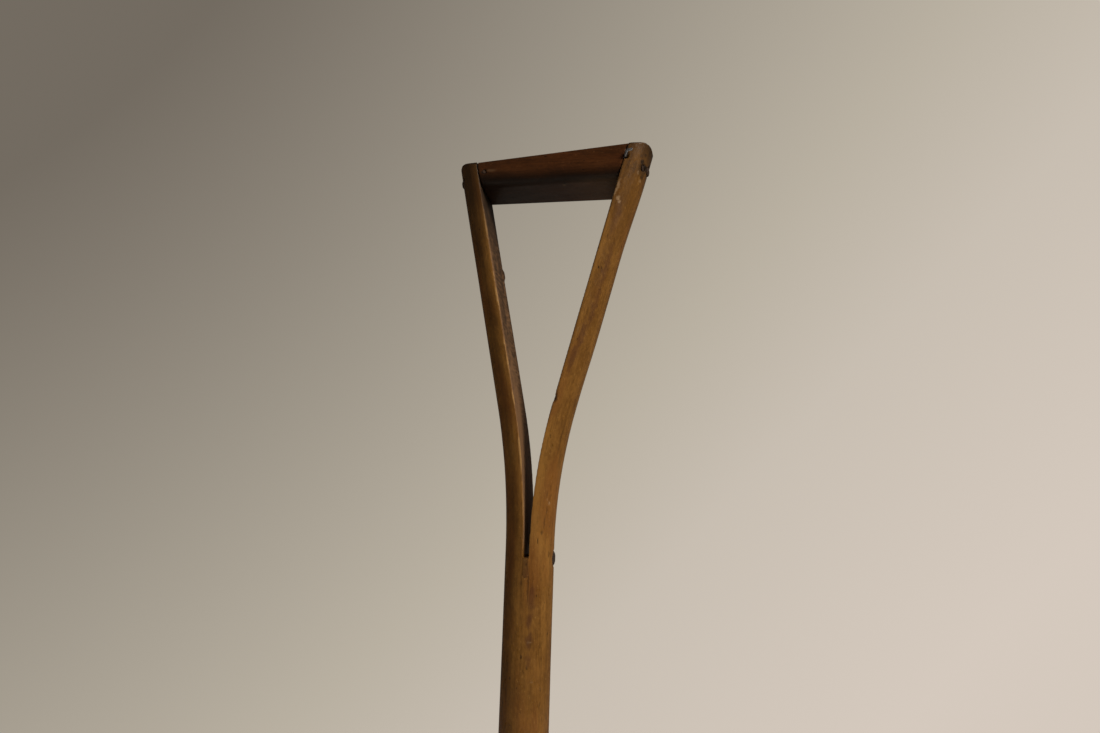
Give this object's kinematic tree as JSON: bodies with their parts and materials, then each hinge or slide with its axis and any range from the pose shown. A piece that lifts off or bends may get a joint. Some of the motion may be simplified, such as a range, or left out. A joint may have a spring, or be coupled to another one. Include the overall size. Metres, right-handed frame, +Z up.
{
  "type": "split-shaft D handle",
  "caption": "Old varnished wooden D handle for a hand tool: a round shaft split and bent into two legs, closed by a fixed cross grip and riveted at the crotch.",
  "frame": {"origin": "centre of the flat end that goes into the tool's socket", "axes": "+Z up the shaft towards the grip, +X along the grip towards its thicker end, front towards -Y"},
  "size_m": [0.1617, 0.0413, 0.711],
  "materials": {
    "shaft_wood": "worn varnished ash",
    "grip_wood": "dark varnished hardwood",
    "slip_wood": "reddish unvarnished wood",
    "rusty_steel": "dark rusted",
    "old_steel": "dull, tarnished"
  },
  "bodies": {
    "root": {"split_shaft": "shaft_wood", "grip": "grip_wood", "kerf_slip": "slip_wood", "grip_rod": "rusty_steel", "side_nail_left": "rusty_steel", "side_nail_right": "rusty_steel", "top_brad_left": "rusty_steel", "top_brad_right": "old_steel", "crotch_rivet": "rusty_steel", "crotch_burr": "rusty_steel"}
  },
  "joints": []
}
